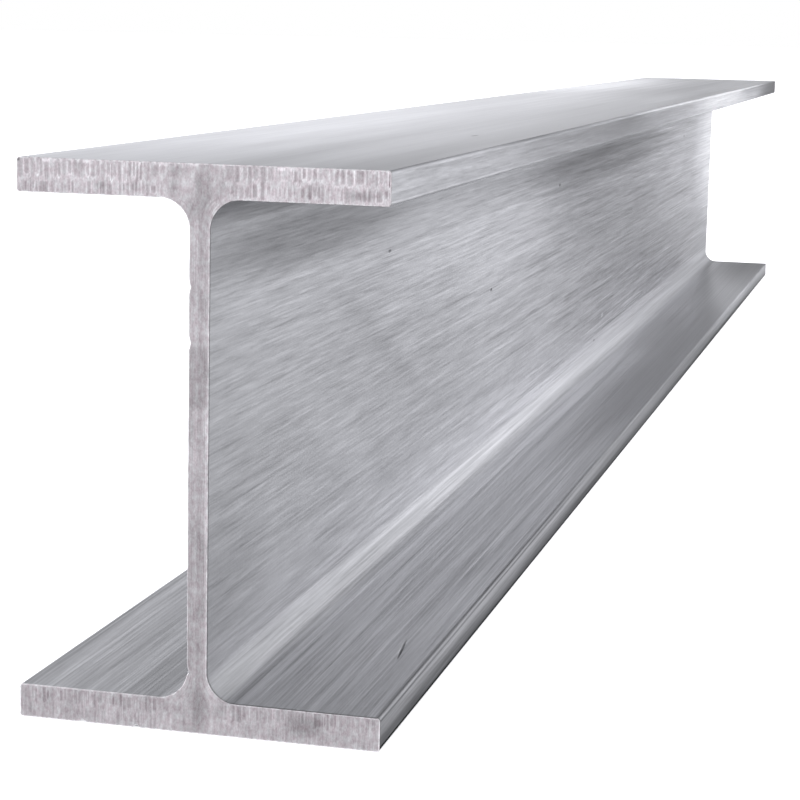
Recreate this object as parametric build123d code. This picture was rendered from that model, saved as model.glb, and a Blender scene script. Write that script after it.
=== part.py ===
from build123d import *
import os

# Stainless steel H-beam: one rolled length of parallel-flange section, sawn square at both ends.
# The beam lies along Y and stands on its bottom flange. X runs across the flanges and Z up the web.
# The origin is at the middle of the bottom face. All sizes are in millimetres.

# Driving dimensions of the rolled section
section_depth = 150.0
flange_width = 100.0
flange_thickness = 9.0
web_thickness = 5.5
# Concave fillet that the rolls leave where the web runs into each flange
root_radius = 8.0
# Slight rounding of the flange tips' long edges
toe_radius = 0.8

# Distance between the two saw cuts
beam_length = 1200.0

# How near a corner has to be to a line to count as on it
position_tolerance = 0.001


def corners_at(sketch, offset):
    """The sketch's corners that lie at this distance from the beam's upright middle plane."""
    return sketch.vertices().filter_by(lambda corner: abs(abs(corner.X) - offset) < position_tolerance)


def rolled_section():
    """The H-shaped profile, upright in the XZ plane and standing on the origin."""
    flange_heights = (flange_thickness / 2, section_depth - flange_thickness / 2)
    with BuildSketch(Plane.XZ) as section:
        with Locations((0, section_depth / 2)):
            Rectangle(web_thickness, section_depth)
        with Locations(*[(0, height) for height in flange_heights]):
            Rectangle(flange_width, flange_thickness)
        fillet(corners_at(section, web_thickness / 2), root_radius)
        fillet(corners_at(section, flange_width / 2), toe_radius)
    return section.sketch


def h_beam():
    """The section carried along the beam, half of the length to each side of the origin."""
    return extrude(rolled_section(), amount=beam_length / 2, both=True)


os.makedirs("parts", exist_ok=True)
export_step(h_beam(), "parts/h_beam.step")
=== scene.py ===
"""Dresses the stainless steel H-beam: its brushed skin, its two sawn ends, the light and the camera.

The beam is one rolled length, so one closed mesh stands for its solid. Lengths are in metres, apart from
those of the marks, which are in millimetres. All are in the beam's own frame: X runs across the flanges, Y
along the beam away from the foreground end, and Z up the web.
"""

import logging
import math
from dataclasses import astuple, dataclass, field, fields
from enum import Enum, IntEnum

import bpy
import numpy as np
from mathutils import Matrix, Vector


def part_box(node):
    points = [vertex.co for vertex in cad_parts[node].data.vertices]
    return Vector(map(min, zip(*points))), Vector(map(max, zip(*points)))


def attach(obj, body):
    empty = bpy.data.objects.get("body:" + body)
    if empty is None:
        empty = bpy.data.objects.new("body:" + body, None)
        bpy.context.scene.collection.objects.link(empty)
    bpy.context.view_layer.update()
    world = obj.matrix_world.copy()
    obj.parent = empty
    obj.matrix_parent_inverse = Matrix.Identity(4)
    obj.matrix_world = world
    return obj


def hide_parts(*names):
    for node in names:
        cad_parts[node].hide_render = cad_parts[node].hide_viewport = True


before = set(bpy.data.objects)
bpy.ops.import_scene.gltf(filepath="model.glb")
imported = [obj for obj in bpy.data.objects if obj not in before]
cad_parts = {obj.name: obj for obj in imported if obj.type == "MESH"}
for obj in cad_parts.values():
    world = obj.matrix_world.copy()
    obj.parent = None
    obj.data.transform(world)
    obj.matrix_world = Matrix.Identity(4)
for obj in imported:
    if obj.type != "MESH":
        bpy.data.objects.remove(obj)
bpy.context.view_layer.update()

log = logging.getLogger("h_beam")
MM = 0.001
NODE = "h_beam"
BODY = "root"
BRUSH_MAP = "Brush"
BAKE_MAP = "OFBake"
CUT_DEPTH = "cut_depth"
CUT_FLOW = "cut_flow"

Colour = tuple[float, float, float]
Triple = tuple[float, float, float]


class Face(IntEnum):
    """Material slots of the beam's mesh."""

    ROLLED = 0
    SAWN = 1
    RIM = 2


class End(Enum):
    """The beam's two ends, by the sign of Y that points out of each."""

    NEAR = -1
    FAR = 1


def lattice_noise(place: np.ndarray, cell: float, seed: int) -> np.ndarray:
    """Smooth random values from 0 to 1 along a line.

    Random numbers stand one cell apart, and between two of them the value eases by 3t^2 - 2t^3.

    Args:
        place: Places along the line, of any shape.
        cell: Distance between two random numbers.
        seed: Seed of the random numbers.

    Returns:
        One value for each place.
    """
    steps = np.asarray(place) / cell
    steps = steps - steps.min()
    low = np.floor(steps).astype(int)
    part = steps - low
    values = np.random.default_rng(seed).random(int(low.max()) + 2)
    ease = part * part * (3 - 2 * part)
    return values[low] * (1 - ease) + values[low + 1] * ease


def eased(low: float, high: float, value: np.ndarray) -> np.ndarray:
    """Rises from 0 at low to 1 at high by 3t^2 - 2t^3."""
    part = np.clip((value - low) / (high - low), 0, 1)
    return part * part * (3 - 2 * part)


@dataclass(frozen=True)
class SectionGrid:
    """Point numbers of the grid that fills the section, shared by the end faces and the skin.

    Attributes:
        bottom: Bottom flange, rows from the underside up, columns from left to right.
        top: Top flange, laid out the same way.
        web: Web, from the bottom flange's last row to the top flange's first.
        rim: The outline, counter-clockwise from the bottom left corner.
        count: How many points there are.
    """

    bottom: np.ndarray
    top: np.ndarray
    web: np.ndarray
    rim: np.ndarray
    count: int

    def faces(self) -> np.ndarray:
        """Quads of the three blocks, facing -Y."""
        blocks = [self.bottom, self.web, self.top]
        return np.concatenate([self._quads(block) for block in blocks])

    @staticmethod
    def _quads(block: np.ndarray) -> np.ndarray:
        """Quads between the neighbouring rows and columns of one block."""
        corners = [block[:-1, :-1], block[:-1, 1:], block[1:, 1:], block[1:, :-1]]
        return np.stack([corner.ravel() for corner in corners], axis=1)


@dataclass(frozen=True)
class RolledSection:
    """The H-shaped section: two flanges with rounded tips, and the web with its root fillets.

    Attributes:
        width: Across the flanges.
        depth: From the underside of the bottom flange to the top of the top flange.
        flange: Thickness of the flanges.
        web: Thickness of the web.
        root: Radius of the concave fillets between web and flanges.
        toe: Radius of the flange tips' long edges.
        web_columns: Grid columns over half of the web's thickness.
        root_columns: Grid columns over a root fillet.
        flat_columns: Grid columns over the flat of a flange, from fillet to tip.
        toe_columns: Grid columns over a rounded tip edge.
        flange_rows: Grid rows through a flange.
        web_rows: Grid rows up the web.
    """

    width: float
    depth: float
    flange: float = 9.0 * MM
    web: float = 5.5 * MM
    root: float = 8.0 * MM
    toe: float = 0.8 * MM
    web_columns: int = 10
    root_columns: int = 24
    flat_columns: int = 124
    toe_columns: int = 4
    flange_rows: int = 18
    web_rows: int = 64

    def half_columns(self, inset: float) -> np.ndarray:
        """Columns of the top flange from the middle plane to the right tip.

        Flats run straight, the fillet is a quarter circle about a centre outside the steel, and the tip's
        edges are quarter circles about centres inside it. An inset moves every outline inwards by as much.

        Args:
            inset: How far the outline lies inside the full section.

        Returns:
            Three rows: x, the flange's lowest z and its highest z.
        """
        under = self.depth - self.flange + inset
        over = self.depth - inset
        seat = self.depth - self.flange - self.root
        web_x = np.linspace(0, self.web / 2 - inset, self.web_columns + 1)
        turn = np.linspace(0, math.pi / 2, self.root_columns + 1)[1:]
        root_x = self.web / 2 + self.root - (self.root + inset) * np.cos(turn)
        root_z = seat + (self.root + inset) * np.sin(turn)
        tip = self.width / 2 - self.toe
        flat_x = np.linspace(self.web / 2 + self.root, tip, self.flat_columns + 1)[1:]
        bend = np.linspace(0, math.pi / 2, self.toe_columns + 1)[1:]
        toe_x = tip + (self.toe - inset) * np.sin(bend)
        drop = (self.toe - inset) * (1 - np.cos(bend))
        x = np.concatenate([web_x, root_x, flat_x, toe_x])
        low = np.concatenate([np.full_like(web_x, seat), root_z, np.full_like(flat_x, under), under + drop])
        high = np.concatenate([np.full(x.size - drop.size, over), over - drop])
        return np.stack([x, low, high])

    def columns(self, inset: float) -> np.ndarray:
        """The half's columns mirrored to both sides, from the left tip to the right.

        Args:
            inset: How far the outline lies inside the full section.

        Returns:
            Three rows, as for the half.
        """
        half = self.half_columns(inset)
        mirrored = half[:, :0:-1] * np.array([[-1], [1], [1]])
        return np.concatenate([mirrored, half], axis=1)

    def web_span(self) -> np.ndarray:
        """Numbers of the columns that the web carries."""
        middle = self.columns(0.0).shape[1] // 2
        return np.arange(middle - self.web_columns, middle + self.web_columns + 1)

    def grid(self) -> SectionGrid:
        """Numbers the points of the section's grid and walks round its outline.

        Returns:
            The numbers, block by block and along the outline.
        """
        columns = self.columns(0.0).shape[1]
        rows = self.flange_rows + 1
        bottom = np.arange(rows * columns).reshape(rows, columns)
        top = bottom + bottom.size
        span = self.web_span()
        between = np.arange((self.web_rows - 1) * span.size).reshape(-1, span.size) + 2 * bottom.size
        web = np.concatenate([bottom[-1:, span], between, top[:1, span]])
        left, right = span[0], span[-1]
        rim = [
            bottom[0],
            bottom[1:, -1],
            bottom[-1, right:-1][::-1],
            web[1:, -1],
            top[0, right + 1:],
            top[1:, -1],
            top[-1, :-1][::-1],
            top[:-1, 0][::-1],
            top[0, 1:left + 1],
            web[:-1, 0][::-1],
            bottom[-1, :left][::-1],
            bottom[1:-1, 0][::-1],
        ]
        return SectionGrid(bottom, top, web, np.concatenate(rim), 2 * bottom.size + between.size)

    def points(self, inset: float) -> np.ndarray:
        """Places of the grid's points for an outline moved inwards by inset.

        Each column of a flange is divided evenly from its lowest to its highest z, and the bottom flange is
        the top one turned upside down. The web's rows lie evenly between the two.

        Args:
            inset: How far the outline lies inside the full section.

        Returns:
            One row of x and z for each point.
        """
        x, low, high = self.columns(inset)
        share = np.linspace(0, 1, self.flange_rows + 1)[:, None]
        wide = np.broadcast_to(x, (share.size, x.size))
        top_z = low + share * (high - low)
        bottom_z = (self.depth - top_z)[::-1]
        web_x = x[self.web_span()]
        first = self.flange + self.root
        rows = np.linspace(first, self.depth - first, self.web_rows + 1)[1:-1, None]
        web_z = np.broadcast_to(rows, (rows.size, web_x.size))
        across = [wide.ravel(), wide.ravel(), np.broadcast_to(web_x, web_z.shape).ravel()]
        up = [bottom_z.ravel(), top_z.ravel(), web_z.ravel()]
        return np.stack([np.concatenate(across), np.concatenate(up)], axis=1)

    def half_width(self, z: np.ndarray) -> np.ndarray:
        """Half of the width that the saw's lines fan out over: the web's, widening through the fillets.

        Args:
            z: Heights.

        Returns:
            The half width at each height, which stays the same within the flanges.
        """
        above = np.minimum(z, self.depth - z) - self.flange
        rise = np.clip(self.root - above, 0, self.root)
        fillet = self.web / 2 + self.root - np.sqrt(self.root ** 2 - rise ** 2)
        return np.where(above > 0, fillet, self.web / 2 + self.root)

    def flow(self, place: np.ndarray) -> np.ndarray:
        """Which of the saw's lines runs through each point of an end face.

        Lines lie evenly across the web, fan out with the steel's width through the fillets, and stand
        upright beyond them, so the number grows with the share of the half width, and past it with the
        distance.

        Args:
            place: One row of x and z for each point.

        Returns:
            The place where each point's line crosses the web, or would without the fillets.
        """
        x, z = place.T
        half = self.half_width(z)
        inside = np.clip(x / half, -1, 1) * self.web / 2
        return inside + np.sign(x) * np.maximum(np.abs(x) - half, 0)


@dataclass(frozen=True)
class PocketRow:
    """A row of upright pockets that the saw's teeth left side by side on a flange's end.

    Attributes:
        low: Where the pockets end below, at the middle of the flange.
        high: Where they end above.
        pitch: Distance from pocket to pocket.
        depth: Deepest pocket, as a share of the cut's depth.
        lip: Height of the burr round the pockets, as a share of the cut's depth.
        lean: How much the row rises for each metre towards +X.
        seed: Seed of the pockets' unevenness.
        wander: How many pitches the place along the row wanders by.
        least: The faintest pocket's depth and burr, as a share of the strongest one's.
        wall: Where a pocket's side wall starts and ends, in pitches from the middle of the ridge.
        ragged_low: How much the lower ends vary.
        ragged_high: How much the upper ends vary.
        rounding: How much a lower end would rise one pitch away from the pocket's middle.
        fade: Where a pocket starts and where it is full, measured inwards from its end.
        lip_width: Half width of the burr along the lower end.
    """

    low: float
    high: float
    pitch: float
    depth: float
    lip: float
    lean: float
    seed: int
    wander: float = 2.0
    least: float = 0.15
    wall: tuple[float, float] = (0.02, 0.28)
    ragged_low: float = 1.7 * MM
    ragged_high: float = 1.6 * MM
    rounding: float = 3.0 * MM
    fade: tuple[float, float] = (-0.3 * MM, 0.4 * MM)
    lip_width: float = 0.32 * MM

    def depths(self, x: np.ndarray, z: np.ndarray) -> np.ndarray:
        """Depth of the row's pockets below the level of the cut, negative on their burrs.

        The place along the row wanders by smooth noise. Each pocket has a flat floor between two narrow
        ridges, a random depth and random ends, and the lower end is rounded: it rises with the square of the
        distance from the pocket's middle. The burr is the ridges, and a bell curve along the lower end.

        Args:
            x: Places across the flange.
            z: Heights.

        Returns:
            A depth from -1 to 1 for each point.
        """
        slow = lattice_noise(x, 5 * self.pitch, self.seed)
        quick = lattice_noise(x, 1.6 * self.pitch, self.seed + 1)
        place = x / self.pitch + self.wander * (slow + 0.5 * quick)
        place = place - place.min()
        number = np.floor(place).astype(int)
        side = np.abs(place - number - 0.5)
        shares = np.random.default_rng(self.seed + 2).random((4, int(number.max()) + 1))
        deep, below, above, burr = shares[:, number]
        most = 1 - self.least
        floor = eased(*self.wall, 0.5 - side)
        level = z - self.lean * x
        start = self.low + self.ragged_low * (below - 0.5) + self.rounding * side ** 2
        stop = self.high + self.ragged_high * (above - 0.5)
        inside = eased(*self.fade, level - start) * eased(*self.fade, stop - level)
        lip = np.exp(-(((level - start) / self.lip_width) ** 2))
        raised = self.lip * (self.least + most * burr ** 2) * np.maximum((1 - floor) * inside, lip)
        return self.depth * (self.least + most * deep) * floor * inside - raised


@dataclass(frozen=True)
class SawCut:
    """The marks that the saw left on an end face.

    Attributes:
        depth: Deepest mark.
        level: Depth of the plain cut between the marks, as a share of the deepest.
        rows: Rows of pockets on the flanges.
        burr: Height of the specks of burr along the top edge, as a share of the deepest mark.
        burr_from: How far below the top the burr starts.
        burr_full: How far below the top it is full.
        speck: Distance from speck to speck.
        patch: Size of the patches and swells over which the marks change.
        middle: Where the web's lines start to give way to the pockets, and where they have.
        web_share: Depth of the web's lines, as a share of the deepest mark.
        line: Width of the lines on the web.
        seed: Seed of the lines' unevenness.
    """

    depth: float = 0.18 * MM
    level: float = 0.40
    rows: tuple[PocketRow, ...] = (
        PocketRow(145.6 * MM, 149.9 * MM, 1.42 * MM, 0.28, 0.50, 0.013, 21),
        PocketRow(141.4 * MM, 144.7 * MM, 1.25 * MM, 0.36, 0.26, 0.013, 34),
        PocketRow(4.9 * MM, 8.5 * MM, 1.05 * MM, 0.32, 0.12, 0.0, 47),
        PocketRow(0.4 * MM, 4.4 * MM, 1.10 * MM, 0.14, 0.12, 0.0, 60),
    )
    burr: float = 0.6
    burr_from: float = 1.2 * MM
    burr_full: float = 0.5 * MM
    speck: float = 0.8 * MM
    patch: float = 9 * MM
    middle: tuple[float, float] = (3.5 * MM, 10.0 * MM)
    web_share: float = 0.2
    line: float = 0.24 * MM
    seed: int = 11

    def relief(self, place: np.ndarray, section: RolledSection) -> np.ndarray:
        """How deep each point of an end face lies below the saw's outermost touch.

        The flanges have their rows of pockets, and the top edge specks of burr. On the web, faint lines
        follow the steel's width, so they fan out through the fillets into the flanges, and soft swells run
        up the web.

        Args:
            place: One row of x and z for each point.
            section: The section that was sawn.

        Returns:
            A share of the cut's depth, from 0 to 1, for each point.
        """
        x, z = place.T
        pockets = sum(row.depths(x, z) for row in self.rows)
        patchy = 0.7 + 0.6 * lattice_noise(x + 0.4 * z, self.patch, self.seed + 3)
        lines = lattice_noise(section.flow(place), self.line, self.seed)
        swell = 0.6 + 0.8 * lattice_noise(z, self.patch, self.seed + 2)
        middle = 1 - eased(*self.middle, np.abs(x))
        on_flange = pockets * patchy * (1 - middle)
        on_web = self.web_share * (lines - 0.5) * swell * middle
        specks = eased(0.6, 0.9, lattice_noise(x, self.speck, self.seed + 4))
        edge = eased(section.depth - self.burr_from, section.depth - self.burr_full, z)
        return np.clip(self.level + on_flange + on_web - self.burr * specks * edge, 0, 1)


@dataclass(frozen=True)
class Nick:
    """A small bite out of the foreground end's edge.

    Attributes:
        x: Its place on the outline, across the beam.
        z: Its height.
        radius: How far round that place it reaches.
        bite: How far it pulls the steel along X, Y and Z.
    """

    x: float
    z: float
    radius: float
    bite: Triple


@dataclass(frozen=True)
class Gouge:
    """A short straight groove in the top of the bottom flange, with raised lips.

    Attributes:
        start: Place of one end, across and along the beam.
        end: Place of the other.
        half_width: Half width of the groove.
        depth: Depth that the next two are shares of.
        sink: Depth of the groove's bell curve.
        lip: Height of the lips' bell curve.
        lip_spread: Width of the lips' curve, in widths of the groove's.
        taper: How fast the ends run out: the power of the sine.
    """

    start: tuple[float, float] = (38.64 * MM, -525.9 * MM)
    end: tuple[float, float] = (41.14 * MM, -546.7 * MM)
    half_width: float = 0.42 * MM
    depth: float = 0.32 * MM
    sink: float = 1.25
    lip: float = 0.3
    lip_spread: float = 2.2
    taper: float = 0.6

    def drop(self, x: np.ndarray, y: np.ndarray) -> np.ndarray:
        """How far each point of the flange's top sinks.

        The groove's section is a bell curve of the distance from the line, less a wider and lower bell for
        the lips, and it fades out towards both ends by a sine.

        Args:
            x: Places across the beam.
            y: Places along it.

        Returns:
            The drop, negative on the lips.
        """
        start, end = np.array(self.start), np.array(self.end)
        run = end - start
        length = np.linalg.norm(run)
        along = ((x - start[0]) * run[0] + (y - start[1]) * run[1]) / length ** 2
        side = ((x - start[0]) * run[1] - (y - start[1]) * run[0]) / length
        fade = np.sin(math.pi * np.clip(along, 0, 1)) ** self.taper
        groove = np.exp(-((side / self.half_width) ** 2))
        lips = np.exp(-((side / (self.lip_spread * self.half_width)) ** 2))
        return self.depth * fade * (self.sink * groove - self.lip * lips)


@dataclass
class HBeam:
    """The whole beam as one closed mesh: rolled skin, broken edges and sawn end faces.

    Attributes:
        section: The rolled section.
        length: From saw cut to saw cut.
        edge_break: Width of the broken edge round a cut.
        break_steps: Angles of the broken edge's rings, in degrees from the end face.
        break_share: Least and most depth of the broken edge, as a share of its width.
        break_cell: How many points of the outline its depth takes to change.
        break_seed: Seed of that change.
        end_rings: Distances of the skin's rings from an end.
        body_margin: How far from the ends the evenly spaced rings start.
        body_rings: How many of those there are.
        groove_margin: How far beyond the gouge its own rings reach.
        groove_rings: How many of those there are.
        cut: The saw marks.
        gouge: The groove in the bottom flange.
        nicks: Bites out of the foreground end's edges.
    """

    section: RolledSection
    length: float
    edge_break: float = 0.32 * MM
    break_steps: tuple[float, ...] = (30, 60, 90)
    break_share: tuple[float, float] = (0.55, 1.45)
    break_cell: float = 7.5
    break_seed: int = 30
    end_rings: tuple[float, ...] = (1.0 * MM, 2.5 * MM, 6.0 * MM, 14.0 * MM, 30.0 * MM)
    body_margin: float = 60 * MM
    body_rings: int = 13
    groove_margin: float = 1.0 * MM
    groove_rings: int = 15
    cut: SawCut = field(default_factory=SawCut)
    gouge: Gouge = field(default_factory=Gouge)
    nicks: tuple[Nick, ...] = (
        Nick(-2.75 * MM, 118.7 * MM, 0.9 * MM, (0.45 * MM, 0.25 * MM, 0.0)),
        Nick(-2.75 * MM, 103.6 * MM, 1.4 * MM, (0.6 * MM, 0.3 * MM, 0.0)),
        Nick(-2.75 * MM, 16.4 * MM, 1.2 * MM, (0.5 * MM, 0.3 * MM, 0.0)),
        Nick(-32.2 * MM, 0.0, 1.6 * MM, (0.0, 0.35 * MM, 0.5 * MM)),
        Nick(-16.8 * MM, 0.0, 1.2 * MM, (0.0, 0.3 * MM, 0.6 * MM)),
    )

    def __post_init__(self) -> None:
        """Numbers the section's grid once, because every ring uses it."""
        self.grid = self.section.grid()
        self.full = self.section.points(0.0)
        self.inset = self.section.points(self.edge_break)

    def stations(self) -> np.ndarray:
        """Places along the beam of the skin's rings, close together at the ends and the gouge.

        Returns:
            The places, from the foreground end to the far one.
        """
        half = self.length / 2
        near_end = np.array(self.end_rings)
        body = np.linspace(-half + self.body_margin, half - self.body_margin, self.body_rings)
        low, high = sorted([self.gouge.start[1], self.gouge.end[1]])
        groove = np.linspace(low - self.groove_margin, high + self.groove_margin, self.groove_rings)
        body = body[(body < groove[0]) | (body > groove[-1])]
        return np.sort(np.concatenate([-half + near_end, groove, body, half - near_end]))

    def break_rings(self, end: End) -> np.ndarray:
        """Rings of the broken edge, from the one next to the end face inwards.

        Each ring is a step of a quarter circle: it comes back from the cut by 1 - cos and out to the full
        section by sin. The quarter circle's depth wanders along the outline.

        Args:
            end: Which end of the beam.

        Returns:
            Ring number, point number and x, y, z.
        """
        rim = self.grid.rim
        least, most = self.break_share
        wander = lattice_noise(np.arange(rim.size), self.break_cell, self.break_seed + end.value)
        share = least + (most - least) * wander
        steps = np.radians(self.break_steps)[:, None]
        out = np.sin(steps)[..., None]
        flat = self.inset[rim] * (1 - out) + self.full[rim] * out
        back = self.edge_break * share * (1 - np.cos(steps))
        y = end.value * (self.length / 2 - back)
        return np.stack([flat[..., 0], y, flat[..., 1]], axis=-1)

    def end_face(self, end: End) -> np.ndarray:
        """Points of one end face, set back by the saw's relief."""
        y = end.value * (self.length / 2 - self.cut.depth * self.saw_relief(end))
        return np.stack([self.inset[:, 0], y, self.inset[:, 1]], axis=1)

    def saw_place(self, end: End) -> np.ndarray:
        """The points of one end face as the saw met them, turned about for the far one."""
        return self.inset * np.array([-end.value, 1])

    def saw_relief(self, end: End) -> np.ndarray:
        """The saw's relief at the points of one end face."""
        return self.cut.relief(self.saw_place(end), self.section)

    def skin_rings(self) -> np.ndarray:
        """Rings of the rolled skin, with the gouge cut in.

        Returns:
            Ring number, point number and x, y, z.
        """
        y = self.stations()
        outline = self.full[self.grid.rim]
        x = np.broadcast_to(outline[:, 0], (y.size, len(outline)))
        z = np.broadcast_to(outline[:, 1], x.shape)
        along = np.broadcast_to(y[:, None], x.shape)
        on_flange = np.isclose(z, self.section.flange) & (x > 0)
        drop = np.where(on_flange, self.gouge.drop(x, along), 0)
        return np.stack([x, along, z - drop], axis=-1)

    def bitten(self, points: np.ndarray) -> np.ndarray:
        """Points moved by the nicks: each pulls what lies within its radius by (1 - d^2)^2 of its bite.

        Args:
            points: One row of x, y and z for each point.

        Returns:
            The moved points.
        """
        for nick in self.nicks:
            centre = np.array([nick.x, -self.length / 2, nick.z])
            far = np.linalg.norm((points - centre) / nick.radius, axis=1)
            pull = np.clip(1 - far ** 2, 0, 1) ** 2
            points = points + pull[:, None] * np.array(nick.bite)
        return points

    def rings(self) -> tuple[np.ndarray, np.ndarray]:
        """Joins the end faces, the broken edges and the skin.

        Returns:
            All points, and the point numbers of each ring from the near face's outline to the far one's.
        """
        near, far = self.end_face(End.NEAR), self.end_face(End.FAR)
        between = [self.break_rings(End.NEAR), self.skin_rings(), self.break_rings(End.FAR)[::-1]]
        between = np.concatenate(between)
        count = self.grid.count
        numbers = np.arange(between.shape[0] * between.shape[1]).reshape(between.shape[:2]) + 2 * count
        rim = self.grid.rim
        points = np.concatenate([near, far, between.reshape(-1, 3)])
        return self.bitten(points), np.concatenate([rim[None], numbers, rim[None] + count])

    def build(self) -> bpy.types.Object:
        """Makes the mesh with its maps, values and face slots.

        Returns:
            The beam's object.
        """
        points, rings = self.rings()
        ends = self.grid.faces()
        after = np.roll(rings, -1, axis=1)
        sides = np.stack([rings[:-1], rings[1:], after[1:], after[:-1]], axis=-1)
        quads = np.concatenate([ends, ends[:, ::-1] + self.grid.count, sides.reshape(-1, 4)])
        slots = np.full(sides.shape[:2], Face.ROLLED)
        slots[:len(self.break_steps)] = Face.RIM
        slots[-len(self.break_steps):] = Face.RIM
        slots = np.concatenate([np.full(2 * len(ends), Face.SAWN), slots.ravel()])

        mesh = bpy.data.meshes.new("h_beam_rolled")
        mesh.from_pydata(points, [], quads)
        mesh.polygons.foreach_set("material_index", slots.astype(np.int32))
        mesh.polygons.foreach_set("use_smooth", np.ones(len(quads), dtype=bool))
        u, v = self._brush_map(points, ends, sides)
        self._add_map(mesh, BRUSH_MAP, u, v)
        self._add_map(mesh, BAKE_MAP, *self._bake_map(u, v, ends.size))
        self._add_values(mesh, CUT_DEPTH, [self.saw_relief(end) for end in End])
        self._add_values(mesh, CUT_FLOW, [self.section.flow(self.saw_place(end)) for end in End])
        mesh.validate()
        mesh.update()
        beam = bpy.data.objects.new("h_beam_rolled", mesh)
        bpy.context.scene.collection.objects.link(beam)
        return beam

    def outline_places(self) -> np.ndarray:
        """Distance round the outline of each of its points, and of the first one again."""
        outline = self.full[self.grid.rim]
        steps = np.linalg.norm(np.roll(outline, -1, axis=0) - outline, axis=1)
        return np.concatenate([[0.0], np.cumsum(steps)])

    def _brush_map(self, points: np.ndarray, ends: np.ndarray, sides: np.ndarray) -> tuple[np.ndarray, ...]:
        """Corner places in metres: round the outline and along the beam, or x and z on the end faces.

        Args:
            points: All points of the mesh.
            ends: Point numbers of the near end's faces.
            sides: Point numbers of the skin's faces, ring by ring.

        Returns:
            The first and the second place of every face corner.
        """
        places = self.outline_places()
        corners = np.stack([places[:-1], places[:-1], places[1:], places[1:]], axis=-1)
        around = np.broadcast_to(corners, (len(sides), *corners.shape))
        near = points[ends]
        far = points[ends[:, ::-1] + self.grid.count]
        u = np.concatenate([near[..., 0].ravel(), -far[..., 0].ravel(), around.ravel()])
        v = np.concatenate([near[..., 2].ravel(), far[..., 2].ravel(), points[sides][..., 1].ravel()])
        return u, v

    def _bake_map(self, u: np.ndarray, v: np.ndarray, first: int) -> tuple[np.ndarray, ...]:
        """Corner places in one unit square: the unrolled skin on the left, the end faces above each other.

        Args:
            u: The first place of every face corner, in metres.
            v: The second one.
            first: How many corners the faces of one end have.

        Returns:
            The two places in the square.
        """
        skin_wide, face_middle, face_scale, gap = 0.62, 0.81, 3.2, 0.02
        u_map = skin_wide * u / self.outline_places()[-1]
        v_map = (v / self.length + 0.5) * (1 - gap) + gap / 2
        on_end = slice(0, 2 * first)
        u_map[on_end] = face_middle + face_scale * u[on_end]
        v_map[on_end] = gap / 2 + face_scale * v[on_end]
        v_map[first:2 * first] += 0.5
        return u_map, v_map

    def _add_values(self, mesh: bpy.types.Mesh, name: str, ends: list[np.ndarray]) -> None:
        """Adds an attribute with one value for each point of the two end faces, and 0 for the rest.

        Args:
            mesh: The beam's mesh.
            name: The attribute's name.
            ends: Values for the near face and for the far one.
        """
        values = np.zeros(len(mesh.vertices), dtype=np.float32)
        values[:2 * self.grid.count] = np.concatenate(ends)
        mesh.attributes.new(name, "FLOAT", "POINT").data.foreach_set("value", values)

    @staticmethod
    def _add_map(mesh: bpy.types.Mesh, name: str, u: np.ndarray, v: np.ndarray) -> None:
        """Adds a map with these corner places to the mesh."""
        layer = mesh.uv_layers.new(name=name, do_init=False)
        layer.uv.foreach_set("vector", np.stack([u, v], axis=1).astype(np.float32).ravel())


@dataclass(frozen=True)
class Mark:
    """A scar, a stain, or a painted highlight, reflection or shade: an ellipsoid in the beam's frame that
    darkens or lightens the surface inside it.

    Attributes:
        place: Its middle, in millimetres.
        half_size: Its three half axes, in millimetres.
        tone: What the surface's tone is multiplied by.
        turn: Its turn about X, Y and Z, in radians.
        core: How far out, as a share of the half axes, the tone stays full.
    """

    place: Triple
    half_size: Triple
    tone: float
    turn: Triple = (0.0, 0.0, 0.0)
    core: float = 0.4


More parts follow.
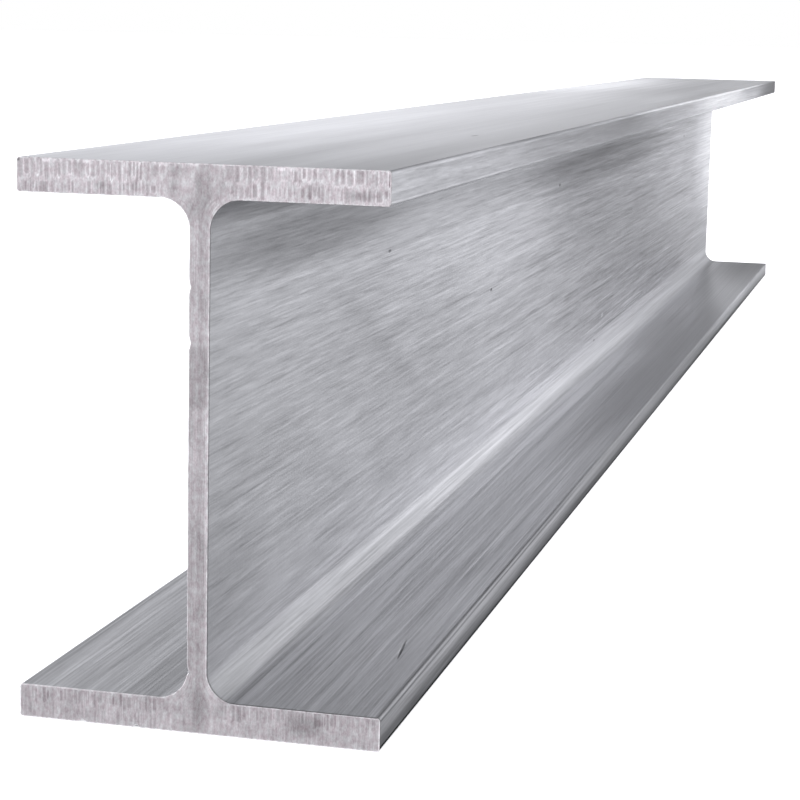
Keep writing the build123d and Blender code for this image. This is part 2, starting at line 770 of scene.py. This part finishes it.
class NodeBoard:
    """Lays out the nodes of one material or world."""

    def __init__(self, tree: bpy.types.NodeTree) -> None:
        """Starts from an empty tree."""
        self.tree = tree
        tree.nodes.clear()

    @classmethod
    def of_material(cls, name: str) -> tuple[bpy.types.Material, "NodeBoard"]:
        """A new material, and the board for its nodes."""
        made = bpy.data.materials.new(name)
        made.use_nodes = True
        return made, cls(made.node_tree)

    def surface(self, inputs: dict) -> None:
        """Adds the surface shader with these inputs, and the material's output."""
        shader = self.add("BsdfPrincipled", inputs)
        self.add("OutputMaterial", {"Surface": shader.outputs["BSDF"]})

    def add(self, kind: str, inputs: dict | None = None, **settings: object) -> bpy.types.Node:
        """Adds a node.

        Args:
            kind: The node's type name after "ShaderNode".
            inputs: Values or sockets for the node's inputs, by name or number.
            settings: Values for the node's own properties.

        Returns:
            The node.
        """
        node = self.tree.nodes.new("ShaderNode" + kind)
        for name, value in settings.items():
            setattr(node, name, value)
        for name, value in (inputs or {}).items():
            self.feed(node.inputs[name], value)
        return node

    def feed(self, socket: bpy.types.NodeSocket, value: object) -> None:
        """Links a socket to another, or sets its value.

        Args:
            socket: The input socket.
            value: An output socket, or a plain value.
        """
        if isinstance(value, bpy.types.NodeSocket):
            self.tree.links.new(value, socket)
        else:
            socket.default_value = value

    def math(self, operation: str, *values: object) -> bpy.types.NodeSocket:
        """Result of one Math node."""
        return self.add("Math", dict(enumerate(values)), operation=operation).outputs[0]

    def noise(self, place: object, scale: Triple, shift: float) -> bpy.types.NodeSocket:
        """A noise texture of three octaves over a stretched and shifted place.

        Args:
            place: The place.
            scale: What each direction is multiplied by.
            shift: What is then added to the third direction, so that two textures differ.

        Returns:
            A value about 0.5.
        """
        stretched = self.add("VectorMath", {0: place, 1: scale}, operation="MULTIPLY")
        moved = self.add("VectorMath", {0: stretched.outputs[0], 1: (0, 0, shift)}, operation="ADD")
        texture = self.add("TexNoise", {"Vector": moved.outputs[0], "Scale": 1.0, "Detail": 2.0})
        return texture.outputs["Fac"]

    def ramp(self, value: object, low: float, high: float, start: float, end: float) -> bpy.types.NodeSocket:
        """Maps low to start and high to end, easing between and clamped outside."""
        inputs = {"Value": value, "From Min": low, "From Max": high, "To Min": start, "To Max": end}
        return self.add("MapRange", inputs, interpolation_type="SMOOTHSTEP").outputs["Result"]

    def mix(self, share: object, first: Colour, second: Colour) -> bpy.types.NodeSocket:
        """A colour between two others."""
        inputs = {"Factor": share, 6: (*first, 1.0), 7: (*second, 1.0)}
        return self.add("Mix", inputs, data_type="RGBA", clamp_factor=True).outputs[2]

    def marked(self, tone: object, marks: tuple[Mark, ...]) -> bpy.types.NodeSocket:
        """A tone multiplied by each mark's own, inside the mark's ellipsoid.

        Args:
            tone: The tone without the marks.
            marks: The marks, one after the other.

        Returns:
            The tone with the marks.
        """
        place = self.add("TexCoord").outputs["Object"]
        for mark in marks:
            middle = tuple(MM * part for part in mark.place)
            size = tuple(MM * part for part in mark.half_size)
            inputs = {"Vector": place, "Location": middle, "Rotation": mark.turn, "Scale": size}
            local = self.add("Mapping", inputs, vector_type="TEXTURE").outputs[0]
            far = self.add("VectorMath", {0: local}, operation="LENGTH").outputs["Value"]
            tone = self.math("MULTIPLY", tone, self.ramp(far, mark.core, 1.0, mark.tone, 1.0))
        return tone

    def tint(self, colour: Colour, strength: object) -> bpy.types.NodeSocket:
        """A colour times a number."""
        node = self.add("VectorMath", {0: colour, "Scale": strength}, operation="SCALE")
        return node.outputs[0]


@dataclass(frozen=True)
class Streaks:
    """One layer of brush lines.

    Attributes:
        across: Width of a line.
        along: Its length.
        tone: How much the lines change the tone.
        rough: How much they change the roughness.
        on_top: What the tone is multiplied by on the top of the beam.
    """

    across: float
    along: float
    tone: float
    rough: float
    on_top: float


# Painted reflections, highlights and shade on the brushed skin: top, web, lower fillets, bottom flange,
# flange sides and tips
PAINTED_LIGHT_AND_SHADE = (
    # painted reflection on the top: darker to the right, lighter to the left and in patches along the length
    Mark((62, 0.0, 150), (95, 6000, 1.5), 0.60, core=0.1),
    Mark((20, -640, 150), (120, 190, 1.5), 0.84, core=0.1),
    Mark((-50, -330, 150), (60, 260, 1.5), 1.10, core=0.2),
    Mark((26, -430, 150), (18, 330, 1.5), 1.12, core=0.3),
    Mark((12, 190, 150), (34, 190, 1.5), 0.84, core=0.2),
    Mark((-45, 330, 150), (40, 300, 1.5), 1.35, core=0.25),
    Mark((42, 230, 150), (26, 330, 1.5), 1.25, core=0.4),
    # painted shade in a band on the web under the top flange, a painted bright far end, and painted diagonal
    # reflections and patches on the web
    Mark((2.75, -500, 125.5), (8, 165, 14), 0.75, core=0.25),
    Mark((2.75, 90, 117), (6, 330, 14), 0.83, core=0.3),
    Mark((2.75, 40, 121), (6, 300, 3.5), 0.88, core=0.3),
    Mark((2.75, 150, 113), (6, 260, 3), 0.90, core=0.3),
    Mark((2.75, 650, 105), (4, 190, 85), 1.5, core=0.2),
    Mark((2.75, -425, 82), (3, 95, 8), 0.94, (-0.397, 0.0, 0.0), core=0.2),
    Mark((2.75, -475, 60), (3, 75, 13), 1.05, (-0.397, 0.0, 0.0), core=0.2),
    Mark((2.75, -230, 100), (3, 230, 25), 1.15, core=0.3),
    Mark((2.75, -150, 62), (3, 240, 48), 1.10, core=0.3),
    Mark((2.75, -600, 40), (3, 75, 24), 0.92, core=0.3),
    # painted highlight, broadened along the lower fillets and onto the bottom flange
    Mark((2.75, -100, 22), (5, 480, 13), 1.13, core=0.3),
    Mark((2.75, 60, 19), (5, 540, 4.5), 1.11, core=0.4),
    Mark((4.2, -570, 12), (4.5, 330, 4.5), 0.78, core=0.3),
    Mark((4, 350, 14), (12, 420, 16), 1.16, core=0.2),
    Mark((2.75, 430, 17), (5, 280, 7), 1.14, core=0.3),
    Mark((9.5, -130, 9), (10, 450, 3), 1.16, core=0.3),
    # painted reflection: bright and dark stretches on the top flange's side face
    Mark((50, 215, 145.5), (3, 210, 9), 1.6, core=0.1),
    Mark((50, 620, 145.5), (3, 220, 9), 0.40, core=0.2),
    Mark((50, -465, 145.5), (3, 110, 9), 1.04, core=0.2),
    Mark((50, -190, 145.5), (3, 110, 9), 0.86, core=0.2),
    # painted reflection: lighter and darker patches on the bottom flange's top
    Mark((42, 10, 9), (22, 270, 3), 0.86, core=0.25),
    Mark((42, 370, 9), (18, 110, 3), 1.10, core=0.2),
    Mark((34, 610, 9), (30, 190, 3), 0.70, core=0.2),
    Mark((22, 170, 9), (18, 130, 3), 0.91, core=0.3),
    Mark((8.5, 80, 9.5), (5, 160, 3), 0.93, core=0.3),
    Mark((-12, -560, 9), (14, 120, 3), 0.88, core=0.3),
    Mark((13, -540, 9), (6, 190, 3), 1.12, core=0.3),
    # painted reflection on the bottom flange's side face, darker towards the bottom
    Mark((50, -380, 7), (2, 420, 1.6), 1.08, core=0.3),
    Mark((50, 0.0, -1), (3, 6000, 9), 0.58, core=0.15),
    # painted highlights along the top flange's tip edges, then painted shade on the bottom flange's upper
    # edges and near the root
    Mark((49.8, 180, 149.8), (1.2, 620, 1.2), 2.0, core=0.4),
    Mark((49.8, -350, 149.8), (1.2, 500, 1.2), 1.3, core=0.6),
    Mark((49.8, -500, 141.2), (1.2, 480, 1.2), 1.22, core=0.6),
    Mark((-49, -560, 8.8), (4, 200, 2), 0.84, core=0.4),
    Mark((-5, -590, 12), (8, 160, 8), 0.82, core=0.3),
    Mark((49.7, -560, 8.7), (1.3, 560, 1.3), 0.62, core=0.4),
    # painted contact shadow along the bottom edge of the right tip, then painted light and shade on the side
    # faces towards the far end
    Mark((49.7, 0.0, 0.3), (1.3, 6000, 1.3), 0.28, core=0.5),
    Mark((50, 330, 6), (3, 200, 5), 1.22, core=0.2),
    Mark((50, 330, 0.6), (3, 420, 2.4), 0.55, core=0.5),
    Mark((50, 560, 141.5), (3, 220, 3), 0.65, core=0.3),
)
# Pits on the web and the top; the ding and the light line running from it, painted as highlights; and
# painted shade on the floor of the gouge
SCARS_AND_PAINTED_LIGHT = (
    Mark((2.75, -413, 110.6), (2, 2.6, 0.7), 0.62),
    Mark((2.75, -82, 111.7), (2, 3.0, 0.9), 0.55),
    Mark((2.75, -240, 78.4), (2, 2.6, 0.8), 0.55),
    Mark((2.75, 43, 19.8), (2, 3.0, 0.9), 0.55),
    Mark((2.75, 420, 114), (2, 5.0, 1.0), 0.6),
    Mark((30.2, -410, 150), (1.2, 6, 1), 0.35),
    # painted highlight: the ding and the light line running from it, with no dent modelled
    Mark((2.75, 69, 30.4), (2, 5, 1.4), 1.3),
    Mark((2.75, 140, 31.2), (2, 78, 1.5), 1.09, core=0.6),
    # painted shade on the floor of the gouge
    Mark((39.9, -536.3, 9), (0.5, 12.5, 2), 0.5, (0.0, 0.0, 0.119)),
)
# Tones of the foreground cut: web, bottom flange, the middles of both flanges, and small stains; a lighter
# strip along the web's right edge is a painted highlight where the burr catches light
CUT_STAINS_AND_HIGHLIGHT = (
    Mark((0.0, -600, 75), (7, 9, 80), 0.79, core=0.8),
    Mark((0.0, -600, 95), (9, 9, 9), 0.84, core=0.8),
    Mark((-0.6, -600, 36), (4, 9, 34), 0.85, core=0.5),
    # painted highlight: a lighter strip along the web's right edge, where the burr catches light
    Mark((2.6, -600, 70), (0.9, 9, 56), 1.18, core=0.5),
    Mark((0.0, -600, 4), (90, 9, 11), 0.80, core=0.6),
    Mark((0.0, -600, 146), (15, 9, 13), 0.86, core=0.4),
    Mark((-2, -600, 4), (6, 9, 9), 0.86, core=0.3),
    Mark((30, -600, 5.0), (8, 9, 4.5), 0.70, core=0.2),
    Mark((42, -600, 143.3), (5, 9, 1.8), 0.74, core=0.2),
    Mark((-27, -600, 143.5), (2, 9, 1.5), 0.78, core=0.2),
    Mark((-17.5, -600, 143.5), (1.5, 9, 2.0), 0.78, core=0.2),
    Mark((-49.6, -600, 149.6), (1.0, 9, 1.0), 0.4),
)
# Painted shade over the foreground cut's broken edge, dulling its glint along the web, the fillets and the
# bottom flange
RIM_PAINTED_SHADE = (
    Mark((2.75, -600, 75), (2.5, 9, 66), 0.90, core=0.7),
    Mark((-2.75, -600, 75), (2.5, 9, 66), 0.85, core=0.7),
    Mark((6, -600, 12), (8, 9, 6), 0.88, core=0.5),
    Mark((6, -600, 138), (8, 9, 6), 0.80, core=0.5),
    Mark((0.0, -600, 9), (60, 9, 3), 0.80, core=0.7),
)


@dataclass(frozen=True)
class Growth:
    """How strongly the brush lines stand out along the beam.

    Attributes:
        start: Place up to which the first strength holds.
        stop: Place from which the last one does.
        first: Strength in the foreground.
        last: Strength farther away.
    """

    start: float
    stop: float
    first: float
    last: float


@dataclass(frozen=True)
class BrushedFinish:
    """The rolled faces: stainless steel brushed along its length.

    Attributes:
        colour: Colour of the steel, seen square on.
        edge: Colour at a grazing view, as a share of the white that bare metal turns to there.
        roughness: Roughness that the brush lines vary.
        anisotropy: How much more the lines scatter light across themselves than along.
        layers: Soft brush lines, from the shortest to the longest.
        dashes: Sparse and crisp ones, darker or brighter than the rest.
        dash: Values of the noise at which a dash starts and is full.
        shift: How far apart the noise of two layers is read.
        near_end: Place of the foreground end along the beam.
        stretch: Distance from there at which the lines are twice as long.
        flange_stretch: How many times as long they are on the bottom flange.
        low: Height up to which the lines are those of the bottom flange.
        high: Height from which they are those of the web.
        top: Height of the beam's top.
        top_fade: How far below the top the lines start to become the top's own, and how far below they have.
        on_web: How strongly the lines stand out on the web and the top.
        on_flange: How strongly they do on the bottom flange.
        marks: Pits and scars, and painted reflections, highlights and shade.
    """

    colour: Colour = (0.489, 0.490, 0.495)
    edge: Colour = (0.730, 0.731, 0.741)
    roughness: float = 0.29
    anisotropy: float = 1.0
    layers: tuple[Streaks, ...] = (
        Streaks(0.50 * MM, 1.6 * MM, 0.11, 0.0, 0.5),
        Streaks(0.40 * MM, 8 * MM, 0.18, 0.02, 0.9),
        Streaks(0.85 * MM, 20 * MM, 0.41, 0.03, 0.6),
        Streaks(2.20 * MM, 60 * MM, 0.20, 0.02, 1.6),
        Streaks(5.00 * MM, 160 * MM, 0.14, 0.0, 2.0),
        Streaks(12.0 * MM, 340 * MM, 0.10, 0.0, 2.0),
    )
    dashes: tuple[Streaks, ...] = (
        Streaks(0.50 * MM, 13 * MM, -0.07, 0.0, 0.4),
        Streaks(0.50 * MM, 15 * MM, 0.06, 0.0, 0.4),
        Streaks(1.20 * MM, 45 * MM, -0.08, 0.0, 0.4),
        Streaks(1.20 * MM, 50 * MM, 0.08, 0.0, 0.4),
        Streaks(0.60 * MM, 110 * MM, 0.06, 0.0, 0.6),
        Streaks(0.60 * MM, 130 * MM, -0.06, 0.0, 0.6),
    )
    dash: tuple[float, float] = (0.56, 0.66)
    shift: float = 7.3
    near_end: float = -0.6
    stretch: float = 0.4
    flange_stretch: float = 3.0
    low: float = 10 * MM
    high: float = 24 * MM
    top: float = 150 * MM
    top_fade: tuple[float, float] = (1 * MM, 0.2 * MM)
    on_web: Growth = Growth(-350 * MM, 450 * MM, 0.88, 1.6)
    on_flange: Growth = Growth(-520 * MM, -150 * MM, 1.3, 0.85)
    marks: tuple[Mark, ...] = PAINTED_LIGHT_AND_SHADE + SCARS_AND_PAINTED_LIGHT

    def material(self) -> bpy.types.Material:
        """Base colour and roughness from layers of noise drawn out along the beam.

        Lines run longer towards the far end: with the distance d from the foreground end in units of the
        stretch, the place along a line is the logarithm of 1 + d, so a line at d is 1 + d times as long.
        Streaks and marks, among them painted reflections, highlights and shade, change the steel's colour at
        every angle of view, so both of the shader's colours take them.

        Returns:
            The material.
        """
        made, board = NodeBoard.of_material("brushed_steel")
        unrolled = board.add("UVMap", uv_map=BRUSH_MAP).outputs["UV"]
        around, along, _ = board.add("SeparateXYZ", {0: unrolled}).outputs
        reach = board.math("MULTIPLY_ADD", along, 1 / self.stretch, 1 - self.near_end / self.stretch)
        drawn = board.math("MULTIPLY", board.math("LOGARITHM", reach, math.e), self.stretch)
        height = board.add("SeparateXYZ", {0: board.add("TexCoord").outputs["Object"]}).outputs["Z"]
        slower = board.ramp(height, self.low, self.high, 1 / self.flange_stretch, 1.0)
        drawn = board.math("MULTIPLY", drawn, slower)
        place = board.add("CombineXYZ", {"X": around, "Y": drawn}).outputs[0]
        start, stop = self.top_fade
        on_top = board.ramp(height, self.top - start, self.top - stop, 0.0, 1.0)
        streaks, rough = 0.0, self.roughness
        for number, layer in enumerate(self.layers + self.dashes):
            line = board.noise(place, (1 / layer.across, 1 / layer.along, 1.0), self.shift * number)
            if layer in self.dashes:
                line = board.ramp(line, *self.dash, 0.0, 1.0)
            else:
                line = board.math("SUBTRACT", line, 0.5)
            strength = board.ramp(on_top, 0.0, 1.0, layer.tone, layer.tone * layer.on_top)
            streaks = board.math("MULTIPLY_ADD", line, strength, streaks)
            rough = board.math("MULTIPLY_ADD", line, layer.rough, rough)
        on_web = board.ramp(along, *astuple(self.on_web))
        on_flange = board.ramp(along, *astuple(self.on_flange))
        growth = board.ramp(height, self.low, self.high, on_flange, on_web)
        tone = board.math("MULTIPLY_ADD", streaks, growth, 1.0)
        tangent = board.add("Tangent", direction_type="UV_MAP", uv_map=BRUSH_MAP)
        # the marks paint reflections, highlights and shade into the tone, besides the pits and scars
        tone = board.marked(tone, self.marks)
        inputs = {
            "Base Color": board.tint(self.colour, tone),
            "Specular Tint": board.tint(self.edge, tone),
            "Metallic": 1.0,
            "Roughness": rough,
            "Anisotropic": self.anisotropy,
            "Tangent": tangent.outputs["Tangent"],
        }
        board.surface(inputs)
        return made


@dataclass(frozen=True)
class SawnFinish:
    """The cut faces: bare steel with the saw's marks, a little warmer than the skin.

    Attributes:
        name: The material's name.
        ridge: Colour of what the saw touched last.
        pocket: Colour of the deepest marks.
        roughness: Roughness of the cut.
        line: Width of the finest lines.
        tone: How much the finest lines and grains change the tone.
        patch: How much soft patches change it.
        marks: Stains and a painted highlight on the cut, painted shade on the broken edge.
        warm: Tint of the dull blotches.
        cool: Tint of the bright ones.
        run: Length of the finest lines, in their widths.
        grain: Width and height of the grains, in widths of a line.
        blotch: Width and height of the small patches.
        blotches: How much the small patches change the tone, as a share of the large ones.
        spread: Width and height of the large patches.
        groove: Depth of the finest lines.
    """

    name: str
    ridge: Colour
    pocket: Colour
    roughness: float
    line: float
    tone: float
    patch: float
    marks: tuple[Mark, ...] = ()
    warm: Colour = (1.03, 0.965, 0.99)
    cool: Colour = (0.98, 1.0, 1.0)
    run: float = 22.0
    grain: tuple[float, float] = (1.4, 2.6)
    blotch: tuple[float, float] = (1.2 * MM, 1.8 * MM)
    blotches: float = 1.4
    spread: tuple[float, float] = (4 * MM, 7 * MM)
    groove: float = 0.05 * MM

    @staticmethod
    def cells(
        board: NodeBoard, place: object, width: float, height: float, shift: float,
    ) -> bpy.types.NodeSocket:
        """Noise over an end face, in cells of this width and height."""
        return board.noise(place, (1 / width, 0.0, 1 / height), shift)

    def material(self) -> bpy.types.Material:
        """Colour from the depth of the cut, under upright lines, soft patches, marks and a tint: stains and
        a painted highlight on the cut, painted shade on the broken edge.

        Returns:
            The material.
        """
        made, board = NodeBoard.of_material(self.name)
        place = board.add("TexCoord").outputs["Object"]
        depth = board.add("Attribute", attribute_name=CUT_DEPTH).outputs["Fac"]
        flow = board.add("Attribute", attribute_name=CUT_FLOW).outputs["Fac"]
        height = board.add("SeparateXYZ", {0: place}).outputs["Z"]
        lines = board.add("CombineXYZ", {"X": flow, "Z": height}).outputs[0]
        fine = self.cells(board, lines, self.line, self.run * self.line, shift=3.1)
        wide, tall = self.grain
        grain = self.cells(board, place, wide * self.line, tall * self.line, shift=9.7)
        blotch = self.cells(board, place, *self.blotch, shift=15.0)
        patch = self.cells(board, place, *self.spread, shift=21.0)
        spotted = self.blotches * self.patch
        layers = ((fine, self.tone), (grain, self.tone), (blotch, spotted), (patch, self.patch))
        tone = 1.0
        for layer, strength in layers:
            tone = board.math("MULTIPLY_ADD", board.math("SUBTRACT", layer, 0.5), strength, tone)
        # on the broken edge the marks are painted shade; on the cut, stains and a painted highlight
        tone = board.marked(tone, self.marks)
        bump = board.add("Bump", {"Height": fine, "Distance": self.groove, "Strength": 1.0})
        colour = board.mix(depth, self.ridge, self.pocket)
        hue = board.mix(board.ramp(blotch, 0.3, 0.7, 0.0, 1.0), self.warm, self.cool)
        tinted = board.add("VectorMath", {0: colour, 1: hue}, operation="MULTIPLY").outputs[0]
        inputs = {
            "Base Color": board.tint(tinted, tone),
            "Metallic": 1.0,
            "Roughness": self.roughness,
            "Normal": bump.outputs["Normal"],
        }
        board.surface(inputs)
        return made


SAWN_STEEL = SawnFinish(
    name="sawn_steel",
    ridge=(0.82, 0.80, 0.805),
    pocket=(0.255, 0.222, 0.232),
    roughness=0.46,
    line=0.24 * MM,
    tone=0.58,
    patch=0.54,
    marks=CUT_STAINS_AND_HIGHLIGHT,
)
BROKEN_EDGE = SawnFinish(
    name="broken_edge",
    ridge=(0.66, 0.645, 0.645),
    pocket=(0.66, 0.645, 0.645),
    roughness=0.30,
    line=0.7 * MM,
    tone=1.2,
    patch=0.5,
    marks=RIM_PAINTED_SHADE,
)


@dataclass(frozen=True)
class Panel:
    """A soft bright area of the studio round the beam, placed about the beam's own axis.

    Attributes:
        near: Angle from the direction of +Y at which the panel starts, in degrees.
        far: Angle at which it ends.
        fade: How softly it starts and ends.
        roll: Its middle's angle about the axis: 0 is to the right, 90 overhead, -90 the floor.
        reach: How far it spreads to both sides of that.
        glow: Its radiance, or if negative, how much of the other panels' light it takes away.
        roll_fade: How softly it ends to both sides.
    """

    near: float
    far: float
    fade: float
    roll: float
    reach: float
    glow: float
    roll_fade: float = 45.0

    def lit(self, board: NodeBoard, cone: object, roll: object) -> bpy.types.NodeSocket:
        """The panel's radiance in a direction.

        Args:
            board: The world's board.
            cone: The direction's angle from +Y, in degrees.
            roll: Its angle about the beam's axis.

        Returns:
            The radiance.
        """
        half, side = self.fade / 2, self.roll_fade / 2
        start = board.ramp(cone, self.near - half, self.near + half, 0.0, self.glow)
        stop = board.ramp(cone, self.far - half, self.far + half, 1.0, 0.0)
        turn = board.math("WRAP", board.math("SUBTRACT", roll, self.roll), 180.0, -180.0)
        away = board.math("ABSOLUTE", turn)
        spread = board.ramp(away, self.reach - side, self.reach + side, 1.0, 0.0)
        return board.math("MULTIPLY", board.math("MULTIPLY", start, stop), spread)


@dataclass(frozen=True)
class Surround:
    """The studio's soft light: a dim base and broad panels, a little cooler than the backdrop.

    Each panel is a field, named for where it stands round the beam.

    Attributes:
        tint: Colour of the light.
        base: Radiance where no panel is.
        backdrop: Radiance of what the camera sees past the floor.
    """

    tint: Colour = (0.984, 0.990, 1.034)
    base: float = 0.1
    backdrop: float = 1.0
    left_wall: Panel = Panel(0, 60, 6, 180, 30, 2.5, 55)
    left_gap: Panel = Panel(5.9, 7.3, 0.9, 180, 35, -0.75, 55)
    overhead: Panel = Panel(11.5, 60, 4, 95, 25, 1.0)
    over_far: Panel = Panel(0, 11.5, 3, 85, 15, 0.28)
    back_high: Panel = Panel(5.4, 7.2, 1.2, 45, 25, 3.8)
    back_low: Panel = Panel(5.4, 7.2, 1.2, -40, 25, 1.75, 40)
    back_strip: Panel = Panel(5.9, 6.5, 0.6, -20, 40, 1.8, 40)
    right_wall: Panel = Panel(11.2, 26, 2.5, 5, 25, 1.55)
    right_low: Panel = Panel(11.2, 26, 3, -40, 25, 0.31, 40)
    right_upper: Panel = Panel(12, 28, 4, 45, 25, 1.7)
    floor_right: Panel = Panel(0, 11, 2.5, -40, 25, 0.35, 40)
    under: Panel = Panel(0, 60, 5, -90, 25, 0.3, 40)
    middle: Panel = Panel(36, 75, 10, 90, 180, 0.75, 10)
    front: Panel = Panel(75, 200, 20, 90, 180, 1.0, 10)

    def panels(self) -> tuple[Panel, ...]:
        """The panels, in order."""
        values = (getattr(self, part.name) for part in fields(self))
        return tuple(value for value in values if isinstance(value, Panel))

    def world(self) -> bpy.types.World:
        """Adds the panels up over the sphere of directions, with a plain backdrop for the camera.

        Returns:
            The world.
        """
        made = bpy.data.worlds.new("studio")
        made.use_nodes = True
        board = NodeBoard(made.node_tree)
        direction = board.add("TexCoord").outputs["Generated"]
        x, y, z = board.add("SeparateXYZ", {0: direction}).outputs
        cone = board.math("DEGREES", board.math("ARCCOSINE", y))
        roll = board.math("DEGREES", board.math("ARCTAN2", z, x))
        total = self.base
        for panel in self.panels():
            total = board.math("ADD", panel.lit(board, cone, roll), total)
        seen = board.add("LightPath").outputs["Is Camera Ray"]
        plain = board.add("Mix", {"Factor": seen, 2: total, 3: self.backdrop}, data_type="FLOAT").outputs[0]
        colour = board.mix(seen, self.tint, (1.0, 1.0, 1.0))
        shader = board.add("Background", {"Color": colour, "Strength": plain})
        board.add("OutputWorld", {"Surface": shader.outputs["Background"]})
        return made


@dataclass(frozen=True)
class Softbox:
    """A rectangular light that reflections leave out, so it lights the floor alone.

    Attributes:
        name: The light's name.
        place: Where it hangs.
        aim: What it faces.
        width: Its width.
        height: Its height.
        power: Its power in watts.
    """

    name: str
    place: Triple
    aim: Triple
    width: float
    height: float
    power: float

    def hang(self) -> None:
        """Makes the light and points it at its aim."""
        lamp = bpy.data.lights.new(self.name, "AREA")
        lamp.shape = "RECTANGLE"
        lamp.size = self.width
        lamp.size_y = self.height
        lamp.energy = self.power
        held = bpy.data.objects.new(self.name, lamp)
        held.location = self.place
        toward = Vector(self.aim) - Vector(self.place)
        held.rotation_mode = "QUATERNION"
        held.rotation_quaternion = toward.to_track_quat("-Z", "Y")
        held.visible_camera = False
        held.visible_glossy = False
        bpy.context.scene.collection.objects.link(held)


@dataclass
class Studio:
    """Floor, surrounding light, softboxes and the camera.

    Attributes:
        floor_radius: Radius of the round floor.
        floor_rings: Rings of its grid.
        floor_spokes: Spokes of its grid.
        floor_colour: Its colour.
        floor_glow: How much of that colour it gives off itself.
        surround: The light all round.
        softboxes: Lights for the floor.
        camera_place: Where the camera stands.
        camera_aim: What it looks at.
        camera_roll: Its turn about its own axis, in degrees.
        sensor: Width of its picture, in millimetres.
        lens: Its focal length, in millimetres.
    """

    floor_radius: float = 30.0
    floor_rings: int = 12
    floor_spokes: int = 64
    floor_colour: Colour = (0.86, 0.86, 0.87)
    floor_glow: float = 0.5
    surround: Surround = field(default_factory=Surround)
    softboxes: tuple[Softbox, ...] = (
        Softbox("floor_light", (0.0, 0.0, 4.0), (0.0, 0.0, 0.0), 7.0, 7.0, 170.0),
    )
    camera_place: Triple = (0.18344, -1.12850, 0.18533)
    camera_aim: Triple = (0.00275, -0.39400, 0.05664)
    camera_roll: float = 1.292
    sensor: float = 36.0
    lens: float = 98.89

    def lay_floor(self) -> None:
        """A round floor: a grid of rings and spokes, closer together towards the middle by a square."""
        rings = np.linspace(0.02, 1, self.floor_rings) ** 2
        spokes = np.arange(self.floor_spokes) * math.tau / self.floor_spokes
        ring, spoke = np.meshgrid(rings, spokes, indexing="ij")
        x = self.floor_radius * ring * np.cos(spoke)
        y = self.floor_radius * ring * np.sin(spoke)
        points = np.stack([x, y, np.zeros_like(x)], axis=-1).reshape(-1, 3)
        number = np.arange(ring.size).reshape(ring.shape)
        after = np.roll(number, -1, axis=1)
        quads = np.stack([number[:-1], number[1:], after[1:], after[:-1]], axis=-1).reshape(-1, 4)
        middle = number[0].tolist()
        mesh = bpy.data.meshes.new("floor")
        mesh.from_pydata(points, [], [*quads.tolist(), middle])
        floor = bpy.data.objects.new("floor", mesh)
        mesh.materials.append(self.floor_material())
        bpy.context.scene.collection.objects.link(floor)
        floor.visible_glossy = False
        floor.visible_shadow = False

    def floor_material(self) -> bpy.types.Material:
        """Plain pale matt floor that glows a little, so that it stays white to the horizon.

        Returns:
            The material.
        """
        made, board = NodeBoard.of_material("pale_floor")
        inputs = {
            "Base Color": (*self.floor_colour, 1.0),
            "Roughness": 0.9,
            "Specular IOR Level": 0.1,
            "Emission Color": (*self.floor_colour, 1.0),
            "Emission Strength": self.floor_glow,
        }
        board.surface(inputs)
        return made

    def light(self) -> None:
        """Sets the surrounding light, and hangs the softboxes."""
        bpy.context.scene.world = self.surround.world()
        for softbox in self.softboxes:
            softbox.hang()

    def set_camera(self) -> None:
        """Stands the camera at the photograph's viewpoint, turned about its own axis by the roll."""
        lens = bpy.data.cameras.new("view")
        lens.sensor_width = self.sensor
        lens.lens = self.lens
        lens.clip_start = 0.01
        camera = bpy.data.objects.new("view", lens)
        toward = Vector(self.camera_aim) - Vector(self.camera_place)
        turn = toward.to_track_quat("-Z", "Y").to_matrix().to_4x4()
        roll = Matrix.Rotation(math.radians(self.camera_roll), 4, "Z")
        camera.matrix_world = Matrix.Translation(self.camera_place) @ turn @ roll
        bpy.context.scene.collection.objects.link(camera)
        bpy.context.scene.camera = camera


def main() -> None:
    """Builds the beam, dresses it, and sets the studio round it."""
    logging.basicConfig(level=logging.INFO, format="%(name)s: %(message)s")
    low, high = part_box(NODE)
    section = RolledSection(width=high.x - low.x, depth=high.z - low.z)
    beam = HBeam(section, length=high.y - low.y).build()
    for finish in (BrushedFinish(), SAWN_STEEL, BROKEN_EDGE):
        beam.data.materials.append(finish.material())
    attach(beam, BODY)
    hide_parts(NODE)
    log.info("%s: %d faces", beam.name, len(beam.data.polygons))

    studio = Studio()
    studio.lay_floor()
    studio.light()
    studio.set_camera()
    bpy.context.scene.view_settings.view_transform = "Standard"
    log.info("studio: floor, %d softboxes and camera", len(studio.softboxes))


if __name__ == "__main__":
    main()
